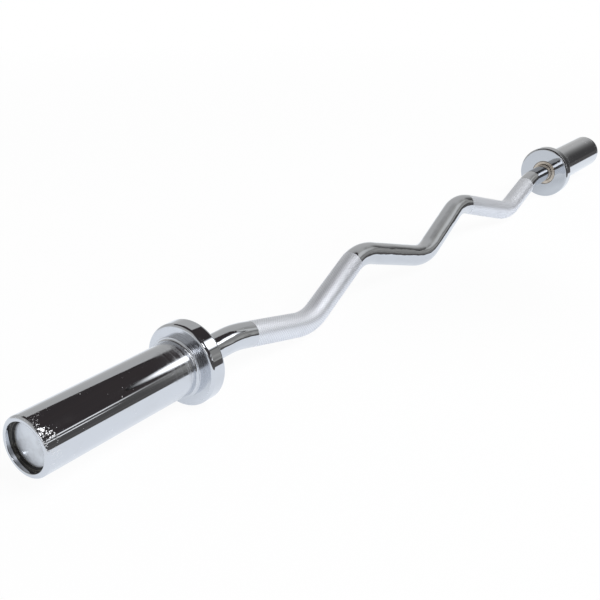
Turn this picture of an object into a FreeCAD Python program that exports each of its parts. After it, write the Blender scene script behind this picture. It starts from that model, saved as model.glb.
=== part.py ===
import FreeCAD, Part
import math
import os
import Sketcher

# An EZ curl bar: a bent round shaft that carries a free-spinning sleeve at each end.
# Millimetres. The origin is the middle of the bar on the axis of its sleeves, X runs along the bar
# and Z is up, so the bar lies on its two collars.

SIZES = {
    # shaft: distances along the bar between the corners of its zigzag, and the corners' heights
    "shaft_diameter": 25,
    "centre_pitch": 125,
    "grip_pitch": 125,
    "neck_pitch": 108,
    "neck_length": 57,
    "centre_drop": 21,
    "inner_rise": 18,
    "outer_drop": 23,
    "bend_radius": 75,
    "neck_bend_radius": 120,
    "lean_angle": 24.5,
    "journal_step": 2.5,
    "journal_overhang": 3,
    "journal_chamfer": 1,
    # sleeve: the tube that plates slide on, measured from the inner face of its collar
    "sleeve_length": 185,
    "sleeve_diameter": 50,
    "sleeve_wall": 7.5,
    "sleeve_lip_round": 3,
    "bore_chamfer": 0.6,
    "mouth_wall": 4.5,
    "mouth_round": 0.8,
    # collar: the flange that stops the plates, pressed on a stepped seat of the tube
    "collar_seat_step": 2,
    "collar_thickness": 17,
    "collar_rise": 9.5,
    "collar_round": 3,
    "hub_step": 3,
    "hub_length": 6,
    "hub_edge_round": 0.5,
    "hub_foot_height": 0.4,
    "hub_foot_length": 2.4,
    "hub_foot_fillet": 1.9,
    # bushes and thrust washers
    "inner_bush_length": 45,
    "outer_bush_length": 30,
    "outer_bush_inset": 14,
    "bush_chamfer": 0.8,
    "grease_groove_width": 4,
    "grease_groove_depth": 0.8,
    "running_clearance": 0.05,
    "thrust_clearance": 0.2,
    "washer_thickness": 2,
    "washer_rim_gap": 1.5,
    "washer_clearance": 0.1,
    # snap rings: the shaft ring grips the journal, the cap ring springs into the sleeve's mouth
    "shaft_ring_thickness": 1.2,
    "shaft_ring_groove": 0.5,
    "shaft_ring_width": 2.5,
    "shaft_ring_lug": 1.9,
    "shaft_ring_gap": 3,
    "shaft_ring_hole": 1.6,
    "cap_ring_thickness": 1.75,
    "cap_ring_groove": 1,
    "cap_ring_width": 3.5,
    "cap_ring_lug": 2.4,
    "cap_ring_gap": 4,
    "cap_ring_hole": 2,
    "ring_turn": 55,
    "ring_side_clearance": 0.05,
    # end cap and its seal
    "cap_recess": 5,
    "cap_thickness": 5,
    "cap_clearance": 0.1,
    "cap_chamfer": 0.4,
    "seal_section": 1.8,
    "seal_clearance": 0.02,
    "seal_side_room": 0.2,
}

# Places and radii that follow from the sizes. Along a sleeve, a place counts from its collar's inner face.
PLACES = {
    "shaft_radius": "=sizes.shaft_diameter / 2",
    "journal_radius": "=shaft_radius - sizes.journal_step",
    "centre_height": "=-sizes.centre_drop",
    "outer_height": "=-sizes.outer_drop",
    "outer_corner": "=sizes.centre_pitch + sizes.grip_pitch",
    "neck_corner": "=outer_corner + sizes.neck_pitch",
    "collar_face": "=neck_corner + sizes.neck_length",
    "sleeve_radius": "=sizes.sleeve_diameter / 2",
    "bore_radius": "=sleeve_radius - sizes.sleeve_wall",
    "bore_edge_radius": "=bore_radius + sizes.bore_chamfer",
    "mouth_radius": "=sleeve_radius - sizes.mouth_wall",
    "seat_radius": "=sleeve_radius - sizes.collar_seat_step",
    "hub_radius": "=sleeve_radius + sizes.hub_step",
    "hub_foot_radius": "=sleeve_radius + sizes.hub_foot_height",
    "collar_radius": "=hub_radius + sizes.collar_rise",
    "hub_end": "=sizes.collar_thickness + sizes.hub_length",
    "seat_end": "=hub_end + sizes.hub_foot_length",
    "cap_ring_end": "=sizes.sleeve_length - sizes.cap_recess",
    "cap_ring_start": "=cap_ring_end - sizes.cap_ring_thickness",
    "cap_start": "=cap_ring_start - sizes.cap_thickness",
    "cap_groove_start": "=cap_ring_start - sizes.ring_side_clearance",
    "cap_groove_end": "=cap_ring_end + sizes.ring_side_clearance",
    "cap_ring_rim": "=mouth_radius + sizes.cap_ring_groove",
    "cap_ring_bore": "=cap_ring_rim - sizes.cap_ring_width",
    "cap_radius": "=mouth_radius - sizes.cap_clearance",
    "cap_edge_radius": "=cap_radius - sizes.cap_chamfer",
    "cap_edge": "=sizes.cap_thickness - sizes.cap_chamfer",
    "seal_tube_radius": "=sizes.seal_section / 2",
    "seal_radius": "=mouth_radius - sizes.seal_clearance - seal_tube_radius",
    "seal_middle": "=cap_start + sizes.cap_thickness / 2",
    "seal_groove_radius": "=seal_radius - seal_tube_radius - sizes.seal_clearance",
    "seal_groove_start": "=sizes.cap_thickness / 2 - seal_tube_radius - sizes.seal_side_room",
    "seal_groove_end": "=sizes.cap_thickness / 2 + seal_tube_radius + sizes.seal_side_room",
    "outer_bush_end": "=cap_start - sizes.outer_bush_inset",
    "outer_bush_start": "=outer_bush_end - sizes.outer_bush_length",
    "shoulder_washer_start": "=outer_bush_start - sizes.thrust_clearance - sizes.washer_thickness",
    "end_washer_start": "=outer_bush_end + sizes.thrust_clearance",
    "shaft_ring_start": "=end_washer_start + sizes.washer_thickness",
    "shaft_ring_end": "=shaft_ring_start + sizes.shaft_ring_thickness",
    "shoulder": "=collar_face + shoulder_washer_start",
    "shaft_groove_start": "=collar_face + shaft_ring_start - sizes.ring_side_clearance",
    "shaft_groove_end": "=collar_face + shaft_ring_end + sizes.ring_side_clearance",
    "shaft_end": "=shaft_groove_end + sizes.journal_overhang",
    "shaft_end_edge": "=shaft_end - sizes.journal_chamfer",
    "shaft_end_radius": "=journal_radius - sizes.journal_chamfer",
    "shaft_ring_bore": "=journal_radius - sizes.shaft_ring_groove",
    "shaft_ring_rim": "=shaft_ring_bore + sizes.shaft_ring_width",
    "inner_bush_bore": "=shaft_radius + sizes.running_clearance",
    "outer_bush_bore": "=journal_radius + sizes.running_clearance",
    "bush_rim_edge": "=bore_radius - sizes.bush_chamfer",
    "washer_bore": "=journal_radius + sizes.washer_clearance",
    "washer_radius": "=bore_radius - sizes.washer_rim_gap",
}
for bush in ("inner_bush", "outer_bush"):
    PLACES[f"{bush}_bore_edge"] = f"={bush}_bore + sizes.bush_chamfer"
    PLACES[f"{bush}_far_edge"] = f"=sizes.{bush}_length - sizes.bush_chamfer"
    PLACES[f"{bush}_groove_radius"] = f"={bush}_bore + sizes.grease_groove_depth"
    PLACES[f"{bush}_groove_start"] = f"=(sizes.{bush}_length - sizes.grease_groove_width) / 2"
    PLACES[f"{bush}_groove_end"] = f"=(sizes.{bush}_length + sizes.grease_groove_width) / 2"
for ring, lug_circle in (("shaft_ring", "shaft_ring_rim"), ("cap_ring", "cap_ring_bore")):
    PLACES[f"{ring}_gap_side"] = f"=sizes.{ring}_gap / 2"
    PLACES[f"{ring}_gap_top"] = f"={ring}_rim + 2 * sizes.{ring}_lug"
    PLACES[f"{ring}_lug_side"] = f"={ring}_gap_side + sizes.{ring}_lug"
    PLACES[f"{ring}_lug_height"] = f"={lug_circle}"
    PLACES[f"{ring}_hole_radius"] = f"=sizes.{ring}_hole / 2"

AXIS_X = FreeCAD.Vector(1, 0, 0)
AXIS_Y = FreeCAD.Vector(0, 1, 0)
AXIS_Z = FreeCAD.Vector(0, 0, 1)
SIDES = {"left": -1, "right": 1}

doc = FreeCAD.newDocument("ez_curl_bar")
pieces = []


def make_sheet(name, cells):
    """A sheet with one named cell in each row."""
    sheet = doc.addObject("Spreadsheet::Sheet", name)
    for row, (alias, content) in enumerate(cells.items(), 1):
        sheet.set(f"A{row}", alias)
        sheet.set(f"B{row}", str(content))
        sheet.setAlias(f"B{row}", alias)
    doc.recompute()


def number(cell):
    """The present value of 0, of a cell written as sheet.alias, or of a cell with a minus before it."""
    if cell == "0":
        return 0.0
    sheet, alias = cell.lstrip("-").split(".")
    value = float(getattr(doc.getObject(sheet), alias))
    return -value if cell.startswith("-") else value


def mirrored(corners):
    """The same corners on the other side of the middle."""
    return [(f"-{along}", up) for along, up in corners]


def new_body(label):
    """An empty body that becomes one piece."""
    body = doc.addObject("PartDesign::Body", label)
    body.Label = label
    pieces.append(body)
    return body


def new_sketch(body, role):
    """An empty sketch on one of the body's own origin planes."""
    sketch = body.newObject("Sketcher::SketchObject", f"{body.Label}_sketch")
    plane = next(item for item in body.Origin.OriginFeatures if item.Role == role)
    sketch.AttachmentSupport = [(plane, "")]
    sketch.MapMode = "FlatFace"
    return sketch


def bind(sketch, kind, target, cell):
    """A driving dimension of a sketch whose value comes from a sheet."""
    index = sketch.addConstraint(Sketcher.Constraint(kind, *target, number(cell)))
    sketch.setExpression(f"Constraints[{index}]", cell)


def add_outline(sketch, corners, closed=True):
    """Straight lines through the corners, each given as its place across and up the sketch."""
    spots = [FreeCAD.Vector(number(across), number(up), 0) for across, up in corners]
    ends = spots[1:] + spots[:1] if closed else spots[1:]
    lines = [sketch.addGeometry(Part.LineSegment(*pair), False) for pair in zip(spots, ends)]
    meetings = list(zip(lines, lines[1:]))
    if closed:
        meetings.append((lines[-1], lines[0]))
    for before, after in meetings:
        sketch.addConstraint(Sketcher.Constraint("Coincident", before, 2, after, 1))
    for index, (across, up) in enumerate(corners):
        point = (lines[index], 1) if index < len(lines) else (lines[-1], 2)
        bind(sketch, "DistanceX", (-1, 1, *point), across)
        bind(sketch, "DistanceY", (-1, 1, *point), up)
    return lines


def add_circle(sketch, radius, across="0", up="0"):
    """A circle with its centre across and up the sketch."""
    centre = FreeCAD.Vector(number(across), number(up), 0)
    circle = sketch.addGeometry(Part.Circle(centre, AXIS_Z, number(radius)), False)
    bind(sketch, "DistanceX", (-1, 1, circle, 3), across)
    bind(sketch, "DistanceY", (-1, 1, circle, 3), up)
    bind(sketch, "Radius", (circle,), radius)


def turned(body, corners):
    """Turns a closed outline round the X axis. Each corner is its place along X and its radius."""
    sketch = new_sketch(body, "XZ_Plane")
    add_outline(sketch, corners)
    revolution = body.newObject("PartDesign::Revolution", f"{body.Label}_turning")
    revolution.Profile = sketch
    revolution.ReferenceAxis = (sketch, ["H_Axis"])
    revolution.Angle = 360
    doc.recompute()


def round_edges(body, edges, radius):
    """Rounds the circular edges at the given places along X and radii."""
    base = body.Tip
    wanted = [(number(along), number(edge_radius)) for along, edge_radius in edges]
    names = []
    for index, edge in enumerate(base.Shape.Edges, 1):
        if isinstance(edge.Curve, Part.Circle):
            here = (edge.Curve.Center.x, edge.Curve.Radius)
            if any(math.dist(here, spot) < 1e-4 for spot in wanted):
                names.append(f"Edge{index}")
    fillet = body.newObject("PartDesign::Fillet", f"{body.Label}_round")
    fillet.Base = (base, names)
    fillet.setExpression("Radius", radius)
    doc.recompute()


def seat(piece, side, start, turn=None):
    """Puts a piece, made from its own inner face outwards, at its place on one end of the bar."""
    facing = FreeCAD.Rotation(AXIS_Z, 0 if side > 0 else 180)
    roll = FreeCAD.Rotation(AXIS_X, -number(turn) if turn else 0)
    piece.Placement = FreeCAD.Placement(FreeCAD.Vector(), facing * roll)
    piece.setExpression(".Placement.Base.x", f"{side} * (places.collar_face + {start})")


def make_shaft():
    """The bent bar: seven bends in one leaning plane, and a stepped-down journal at each end."""
    body = new_body("shaft")
    half = [
        ("sizes.centre_pitch", "sizes.inner_rise"),
        ("places.outer_corner", "places.outer_height"),
        ("places.neck_corner", "0"),
        ("places.shoulder", "0"),
    ]
    half_bends = ["bend_radius", "bend_radius", "neck_bend_radius"]
    path = new_sketch(body, "XZ_Plane")
    runs = add_outline(path, mirrored(half[::-1]) + [("0", "places.centre_height")] + half, closed=False)
    for run, bend in zip(runs, half_bends[::-1] + ["bend_radius"] + half_bends):
        path.fillet(run, 2, number(f"sizes.{bend}"), True, True)
        arcs = [index for index, item in enumerate(path.Geometry) if isinstance(item, Part.ArcOfCircle)]
        bind(path, "Radius", (arcs[-1],), f"sizes.{bend}")
    section = new_sketch(body, "YZ_Plane")
    section.setExpression(".AttachmentOffset.Base.z", "-places.shoulder")
    add_circle(section, "places.shaft_radius")
    doc.recompute()
    bar = body.newObject("PartDesign::AdditivePipe", "shaft_bar")
    bar.Profile = section
    bar.Spine = (path, [])
    doc.recompute()
    journal = [
        ("places.shoulder", "0"),
        ("places.shoulder", "places.journal_radius"),
        ("places.shaft_groove_start", "places.journal_radius"),
        ("places.shaft_groove_start", "places.shaft_ring_bore"),
        ("places.shaft_groove_end", "places.shaft_ring_bore"),
        ("places.shaft_groove_end", "places.journal_radius"),
        ("places.shaft_end_edge", "places.journal_radius"),
        ("places.shaft_end", "places.shaft_end_radius"),
        ("places.shaft_end", "0"),
    ]
    turned(body, journal)
    turned(body, mirrored(journal))
    body.Placement = FreeCAD.Placement(FreeCAD.Vector(), FreeCAD.Rotation(-AXIS_X, 1))
    body.setExpression(".Placement.Rotation.Angle", "sizes.lean_angle")


def make_sleeve(name, side):
    """The tube that plates slide on, with a seat for the collar and a recessed mouth for the end cap."""
    body = new_body(f"{name}_sleeve")
    turned(body, [
        ("0", "places.bore_edge_radius"),
        ("0", "places.seat_radius"),
        ("places.seat_end", "places.seat_radius"),
        ("places.seat_end", "places.sleeve_radius"),
        ("sizes.sleeve_length", "places.sleeve_radius"),
        ("sizes.sleeve_length", "places.mouth_radius"),
        ("places.cap_groove_end", "places.mouth_radius"),
        ("places.cap_groove_end", "places.cap_ring_rim"),
        ("places.cap_groove_start", "places.cap_ring_rim"),
        ("places.cap_groove_start", "places.mouth_radius"),
        ("places.cap_start", "places.mouth_radius"),
        ("places.cap_start", "places.bore_radius"),
        ("sizes.bore_chamfer", "places.bore_radius"),
    ])
    round_edges(body, [("sizes.sleeve_length", "places.sleeve_radius")], "sizes.sleeve_lip_round")
    round_edges(body, [("sizes.sleeve_length", "places.mouth_radius")], "sizes.mouth_round")
    seat(body, side, "0")


def make_collar(name, side):
    """The flange that stops the plates, with a short hub whose foot runs out on the sleeve."""
    body = new_body(f"{name}_collar")
    turned(body, [
        ("0", "places.seat_radius"),
        ("0", "places.collar_radius"),
        ("sizes.collar_thickness", "places.collar_radius"),
        ("sizes.collar_thickness", "places.hub_radius"),
        ("places.hub_end", "places.hub_radius"),
        ("places.hub_end", "places.hub_foot_radius"),
        ("places.seat_end", "places.hub_foot_radius"),
        ("places.seat_end", "places.seat_radius"),
    ])
    rims = [("0", "places.collar_radius"), ("sizes.collar_thickness", "places.collar_radius")]
    round_edges(body, rims, "sizes.collar_round")
    round_edges(body, [("places.hub_end", "places.hub_foot_radius")], "sizes.hub_foot_fillet")
    round_edges(body, [("places.hub_end", "places.hub_radius")], "sizes.hub_edge_round")
    seat(body, side, "0")


def make_bush(name, side, bush, start):
    """A bronze bush pressed into the sleeve, chamfered at both ends, with a grease groove in its bore."""
    body = new_body(f"{name}_{bush}")
    bore = f"places.{bush}_bore"
    turned(body, [
        ("0", f"places.{bush}_bore_edge"),
        ("0", "places.bush_rim_edge"),
        ("sizes.bush_chamfer", "places.bore_radius"),
        (f"places.{bush}_far_edge", "places.bore_radius"),
        (f"sizes.{bush}_length", "places.bush_rim_edge"),
        (f"sizes.{bush}_length", f"places.{bush}_bore_edge"),
        (f"places.{bush}_far_edge", bore),
        (f"places.{bush}_groove_end", bore),
        (f"places.{bush}_groove_end", f"places.{bush}_groove_radius"),
        (f"places.{bush}_groove_start", f"places.{bush}_groove_radius"),
        (f"places.{bush}_groove_start", bore),
        ("sizes.bush_chamfer", bore),
    ])
    seat(body, side, start)


def make_washer(name, side, washer):
    """A flat thrust washer on the journal."""
    body = new_body(f"{name}_{washer}")
    turned(body, [
        ("0", "places.washer_bore"),
        ("0", "places.washer_radius"),
        ("sizes.washer_thickness", "places.washer_radius"),
        ("sizes.washer_thickness", "places.washer_bore"),
    ])
    seat(body, side, f"places.{washer}_start")


def make_snap_ring(name, side, ring):
    """A flat spring ring, open at a gap, with a drilled lug at each side of the gap."""
    body = new_body(f"{name}_{ring}")
    hoop = new_sketch(body, "YZ_Plane")
    add_circle(hoop, f"places.{ring}_rim")
    add_circle(hoop, f"places.{ring}_bore")
    lugs = new_sketch(body, "YZ_Plane")
    holes = new_sketch(body, "YZ_Plane")
    for hand in ("", "-"):
        spot = (f"{hand}places.{ring}_lug_side", f"places.{ring}_lug_height")
        add_circle(lugs, f"sizes.{ring}_lug", *spot)
        add_circle(holes, f"places.{ring}_hole_radius", *spot)
    gap_side = [(f"places.{ring}_gap_side", "0"), (f"places.{ring}_gap_side", f"places.{ring}_gap_top")]
    gap = new_sketch(body, "YZ_Plane")
    add_outline(gap, gap_side + mirrored(gap_side[::-1]))
    for sketch in (hoop, lugs):
        pad = body.newObject("PartDesign::Pad", f"{body.Label}_pad")
        pad.Profile = sketch
        pad.setExpression("Length", f"sizes.{ring}_thickness")
        doc.recompute()
    for sketch in (gap, holes):
        volume = body.Tip.Shape.Volume
        pocket = body.newObject("PartDesign::Pocket", f"{body.Label}_cut")
        pocket.Profile = sketch
        pocket.Reversed = True
        pocket.setExpression("Length", f"sizes.{ring}_thickness")
        doc.recompute()
        if pocket.Shape.Volume >= volume:
            raise RuntimeError(f"{body.Label}: a cut removed nothing")
    seat(body, side, f"places.{ring}_start", "sizes.ring_turn")


def make_end_cap(name, side):
    """The disc that closes the sleeve's mouth, with a groove round it for its seal."""
    body = new_body(f"{name}_end_cap")
    turned(body, [
        ("0", "0"),
        ("0", "places.cap_edge_radius"),
        ("sizes.cap_chamfer", "places.cap_radius"),
        ("places.seal_groove_start", "places.cap_radius"),
        ("places.seal_groove_start", "places.seal_groove_radius"),
        ("places.seal_groove_end", "places.seal_groove_radius"),
        ("places.seal_groove_end", "places.cap_radius"),
        ("places.cap_edge", "places.cap_radius"),
        ("sizes.cap_thickness", "places.cap_edge_radius"),
        ("sizes.cap_thickness", "0"),
    ])
    seat(body, side, "places.cap_start")


def make_cap_seal(name, side):
    """The rubber ring in the groove of the end cap."""
    seal = doc.addObject("Part::Torus", f"{name}_cap_seal")
    seal.Label = f"{name}_cap_seal"
    seal.setExpression("Radius1", "places.seal_radius")
    seal.setExpression("Radius2", "places.seal_tube_radius")
    seal.Placement = FreeCAD.Placement(FreeCAD.Vector(), FreeCAD.Rotation(AXIS_Y, 90))
    seal.setExpression(".Placement.Base.x", f"{side} * (places.collar_face + places.seal_middle)")
    pieces.append(seal)


make_sheet("sizes", SIZES)
make_sheet("places", PLACES)
make_shaft()
for name, side in SIDES.items():
    make_sleeve(name, side)
    make_collar(name, side)
    make_bush(name, side, "inner_bush", "0")
    make_bush(name, side, "outer_bush", "places.outer_bush_start")
    make_washer(name, side, "shoulder_washer")
    make_washer(name, side, "end_washer")
    make_snap_ring(name, side, "shaft_ring")
    make_end_cap(name, side)
    make_cap_seal(name, side)
    make_snap_ring(name, side, "cap_ring")
doc.recompute()

for item in doc.Objects:
    if {"Invalid", "Error"} & set(item.State):
        raise RuntimeError(f"{item.Label} did not rebuild")
for piece in pieces:
    if piece.Shape.isNull() or not piece.Shape.isValid() or len(piece.Shape.Solids) != 1:
        raise RuntimeError(f"{piece.Label} is not one valid solid")

os.makedirs("parts", exist_ok=True)
for piece in pieces:
    piece.Shape.exportStep(f"parts/{piece.Label}.step")
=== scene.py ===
import math

import bpy
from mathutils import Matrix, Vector


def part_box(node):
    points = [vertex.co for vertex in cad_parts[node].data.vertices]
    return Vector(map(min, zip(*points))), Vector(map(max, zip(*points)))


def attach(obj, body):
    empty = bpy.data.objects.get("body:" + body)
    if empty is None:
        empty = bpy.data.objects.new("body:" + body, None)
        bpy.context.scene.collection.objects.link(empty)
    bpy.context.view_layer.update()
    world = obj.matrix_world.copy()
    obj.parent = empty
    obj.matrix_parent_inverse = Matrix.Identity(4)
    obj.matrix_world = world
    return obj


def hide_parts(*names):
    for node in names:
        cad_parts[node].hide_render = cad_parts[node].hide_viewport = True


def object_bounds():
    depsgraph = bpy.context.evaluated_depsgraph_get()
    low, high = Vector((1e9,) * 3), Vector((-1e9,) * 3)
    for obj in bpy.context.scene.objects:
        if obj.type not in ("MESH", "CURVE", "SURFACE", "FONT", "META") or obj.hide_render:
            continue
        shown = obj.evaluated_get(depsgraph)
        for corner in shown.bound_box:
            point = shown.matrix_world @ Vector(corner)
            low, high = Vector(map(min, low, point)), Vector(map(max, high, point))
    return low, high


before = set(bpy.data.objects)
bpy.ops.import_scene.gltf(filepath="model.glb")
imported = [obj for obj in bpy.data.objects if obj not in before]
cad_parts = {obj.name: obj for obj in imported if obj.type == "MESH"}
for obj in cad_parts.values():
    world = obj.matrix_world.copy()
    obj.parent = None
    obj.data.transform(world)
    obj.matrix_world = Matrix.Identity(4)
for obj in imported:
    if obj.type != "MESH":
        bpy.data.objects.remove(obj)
cad_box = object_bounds()

# Shaft
# A 25 mm round steel bar. Its ends are turned down to 20 mm journals while it is still straight, then it is
# bent cold into a shallow zigzag of seven bends in one plane, polished and chrome plated.
SHAFT_RADIUS = 0.0125
JOURNAL_RADIUS = 0.010
SHOULDER = 0.54205
RING_GROOVE_START = 0.5764
RING_GROOVE_END = 0.5777
RING_GROOVE_RADIUS = 0.0095
SHAFT_END = 0.5807
END_CHAMFER = 0.001
GRIP_START = 0.148
GRIP_END = 0.348
NECK_STRAIGHT = 0.412
RING_STEP = 0.0016
SHAFT_SIDES = 112
SHARP_EDGE = math.radians(32)
ZIGZAG = {
    "Inner Corner": 0.125,
    "Outer Corner": 0.250,
    "Neck Corner": 0.358,
    "Shaft End": SHAFT_END,
    "Centre Drop": 0.021,
    "Inner Rise": 0.018,
    "Outer Drop": 0.023,
    "Bend Radius": 0.075,
    "Neck Radius": 0.120,
    "Lean": math.radians(24.5),
}
CORNER_COUNT = 9
BEND_STEPS = 40
CHROME = (0.640, 0.662, 0.705, 1)
CHROME_DULL = (0.585, 0.598, 0.625, 1)
CHROME_BRUISED = (0.80, 0.81, 0.83, 1)
# Painted shade for the collar's inner face, standing for the floor's shadow that it mirrors.
CHROME_PAINTED_SHADE = (0.525, 0.545, 0.578, 1)


def put(tree, kind, inputs=None, **settings):
    """Adds a node, sets it up, and feeds its inputs with values or with the outputs of other nodes."""
    made = tree.nodes.new(kind)
    for name, value in settings.items():
        setattr(made, name, value)
    for key, value in (inputs or {}).items():
        if isinstance(value, bpy.types.NodeSocket):
            tree.links.new(value, made.inputs[key])
        else:
            made.inputs[key].default_value = value
    return made


def reckon(tree, operation, *terms, clamp=False):
    """One step of arithmetic in a tree."""
    step = put(tree, "ShaderNodeMath", dict(enumerate(terms)), operation=operation, use_clamp=clamp)
    return step.outputs[0]


def reckon_vector(tree, operation, *terms):
    """One step of arithmetic on vectors; a scaled vector takes its factor as the second term."""
    keys = (0, 3) if operation == "SCALE" else range(3)
    return put(tree, "ShaderNodeVectorMath", dict(zip(keys, terms)), operation=operation).outputs[0]


def split(tree, vector):
    """The X, Y and Z of a vector."""
    return put(tree, "ShaderNodeSeparateXYZ", {0: vector}).outputs


def new_tree(name, kind, inputs, outputs):
    """A node group with named inputs, each given as its socket's kind and value, and named outputs."""
    tree = bpy.data.node_groups.new(name, kind)
    for label, (socket, value) in inputs.items():
        item = tree.interface.new_socket(label, in_out="INPUT", socket_type="NodeSocket" + socket)
        if value is not None:
            item.default_value = value
    for label, socket in outputs.items():
        tree.interface.new_socket(label, in_out="OUTPUT", socket_type="NodeSocket" + socket)
    return tree, tree.nodes.new("NodeGroupInput").outputs, tree.nodes.new("NodeGroupOutput").inputs


def turned_solid(name, outlines, sides):
    """A closed solid of revolution about X for each outline of places and radii, from pole to pole."""
    points = []
    faces = []
    for outline in outlines:
        rings = []
        for place, radius in outline:
            count = sides if radius else 1
            rings.append([len(points) + k for k in range(count)])
            for k in range(count):
                turn = math.tau * k / sides
                points.append((place, radius * math.sin(turn), radius * math.cos(turn)))
        for near, far in zip(rings, rings[1:]):
            for k in range(sides):
                face = [near[k % len(near)], far[k % len(far)]]
                face += [far[(k + 1) % len(far)], near[(k + 1) % len(near)]]
                faces.append(list(dict.fromkeys(face)))
    mesh = bpy.data.meshes.new(name)
    mesh.from_pydata(points, [], faces)
    piece = bpy.data.objects.new(name, mesh)
    bpy.context.scene.collection.objects.link(piece)
    return piece


def run_tree(piece, tree, values):
    """Runs a tree on a piece with its inputs set, and keeps the outcome as the piece's plain mesh."""
    modifier = piece.modifiers.new(tree.name, "NODES")
    modifier.node_group = tree
    for item in tree.interface.items_tree:
        if item.in_out == "INPUT" and item.name in values:
            modifier[item.identifier] = values[item.name]
    graph = bpy.context.evaluated_depsgraph_get()
    mesh = bpy.data.meshes.new_from_object(
        piece.evaluated_get(graph), preserve_all_data_layers=True, depsgraph=graph)
    piece.modifiers.remove(modifier)
    piece.data = mesh


# The bending: a path through the zigzag's corners, each rounded to its radius, and every point of the
# straight bar moved to the same place beside the path as it had beside the X axis.
zigzag_inputs = {label: ("Float", value) for label, value in ZIGZAG.items()}
bending, size, bent = new_tree(
    "cold_bending", "GeometryNodeTree",
    {"Straight": ("Geometry", None), **zigzag_inputs}, {"Bent": "Geometry"})
order = put(bending, "GeometryNodeInputIndex").outputs[0]
from_middle = reckon(bending, "SUBTRACT", order, CORNER_COUNT // 2)
corner = reckon(bending, "ABSOLUTE", from_middle)


def at_corner(*sizes):
    """One of five sizes, by how many corners away from the middle a corner is."""
    chosen = put(bending, "GeometryNodeIndexSwitch", data_type="FLOAT")
    while len(chosen.index_switch_items) < len(sizes):
        chosen.index_switch_items.new()
    for key, value in enumerate((corner, *sizes)):
        if isinstance(value, bpy.types.NodeSocket):
            bending.links.new(value, chosen.inputs[key])
        else:
            chosen.inputs[key].default_value = value
    return chosen.outputs[0]


along = at_corner(0.0, size["Inner Corner"], size["Outer Corner"], size["Neck Corner"], size["Shaft End"])
centre_height = reckon(bending, "MULTIPLY", size["Centre Drop"], -1.0)
outer_height = reckon(bending, "MULTIPLY", size["Outer Drop"], -1.0)
height = at_corner(centre_height, size["Inner Rise"], outer_height, 0.0, 0.0)
rounding = at_corner(
    size["Bend Radius"], size["Bend Radius"], size["Bend Radius"], size["Neck Radius"], 0.0)
corner_place = put(bending, "ShaderNodeCombineXYZ", {
    "X": reckon(bending, "MULTIPLY", along, reckon(bending, "SIGN", from_middle)),
    "Y": reckon(bending, "MULTIPLY", height, reckon(bending, "SINE", size["Lean"])),
    "Z": reckon(bending, "MULTIPLY", height, reckon(bending, "COSINE", size["Lean"])),
}).outputs[0]
corners = put(bending, "GeometryNodeMeshLine", {"Count": CORNER_COUNT}, mode="OFFSET", count_mode="TOTAL")
corners = put(bending, "GeometryNodeSetPosition", {"Geometry": corners.outputs[0], "Position": corner_place})
path = put(bending, "GeometryNodeMeshToCurve", {"Mesh": corners.outputs[0]})
path = put(
    bending, "GeometryNodeFilletCurve",
    {"Curve": path.outputs[0], "Count": BEND_STEPS, "Radius": rounding}, mode="POLY").outputs[0]
path_length = put(bending, "GeometryNodeCurveLength", {0: path}).outputs[0]
half_way = reckon(bending, "DIVIDE", path_length, 2.0)
here = put(bending, "GeometryNodeInputPosition").outputs[0]
kept = put(
    bending, "GeometryNodeStoreNamedAttribute",
    {"Geometry": size["Straight"], "Name": "straight", "Value": here},
    data_type="FLOAT_VECTOR", domain="POINT")
here = split(bending, here)
beside = put(
    bending, "GeometryNodeSampleCurve",
    {"Curves": path, "Length": reckon(bending, "ADD", here["X"], half_way)}, mode="LENGTH").outputs
back = reckon_vector(bending, "SCALE", beside["Normal"], -1.0)
up = reckon_vector(bending, "CROSS_PRODUCT", beside["Tangent"], back)
backwards = reckon_vector(bending, "SCALE", back, here["Y"])
upwards = reckon_vector(bending, "SCALE", up, here["Z"])
offset = reckon_vector(bending, "ADD", backwards, upwards)
moved = put(bending, "GeometryNodeSetPosition", {
    "Geometry": kept.outputs[0], "Position": reckon_vector(bending, "ADD", beside["Position"], offset)})
bending.links.new(moved.outputs[0], bent["Bent"])

shaft_tree, size, made = new_tree(
    "bent_shaft", "GeometryNodeTree",
    {"Straight": ("Geometry", None), **zigzag_inputs, "Finish": ("Material", None)}, {"Shaft": "Geometry"})
shape = put(
    shaft_tree, "GeometryNodeGroup",
    {label: size[label] for label in ("Straight", *ZIGZAG)}, node_tree=bending)
shape = put(shaft_tree, "GeometryNodeRealizeInstances", {0: shape.outputs[0]})
shape = put(
    shaft_tree, "GeometryNodeSetMaterial", {"Geometry": shape.outputs[0], "Material": size["Finish"]})
shaft_tree.links.new(shape.outputs[0], made["Shaft"])


def soft_step(tree, value, start, end):
    """A soft step from 0 at one value to 1 at another."""
    limits = {0: value, 1: start, 2: end}
    return put(tree, "ShaderNodeMapRange", limits, interpolation_type="SMOOTHSTEP").outputs[0]


def clouds(tree, place, scale, detail, **more):
    """Random clouds, as small as their scale is large, with as much fine detail as given."""
    settings = {"Vector": place, "Scale": scale, "Detail": detail, **more}
    return put(tree, "ShaderNodeTexNoise", settings).outputs[0]


def stretched_clouds(tree, place, scales, detail, turn=(0, 0, 0), **more):
    """Random clouds drawn out one way, with a scale for each axis."""
    drawn = put(tree, "ShaderNodeMapping", {"Vector": place, "Scale": scales, "Rotation": turn})
    return clouds(tree, drawn.outputs[0], scale=1.0, detail=detail, **more)


def blend(tree, share, first, second):
    """A colour between two, by a share that changes over the surface."""
    mixed = put(tree, "ShaderNodeMix", {0: share, 6: first, 7: second}, data_type="RGBA")
    return mixed.outputs[2]


def relief(tree, height, strength, depth, **under):
    """A shallow relief in the surface, on its own or over another one."""
    settings = {"Height": height, "Strength": strength, "Distance": depth, **under}
    return put(tree, "ShaderNodeBump", settings).outputs[0]


def pattern(tree, group, place):
    """The outputs of a shared pattern at a place."""
    return put(tree, "ShaderNodeGroup", {"Vector": place}, node_tree=group).outputs


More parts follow.
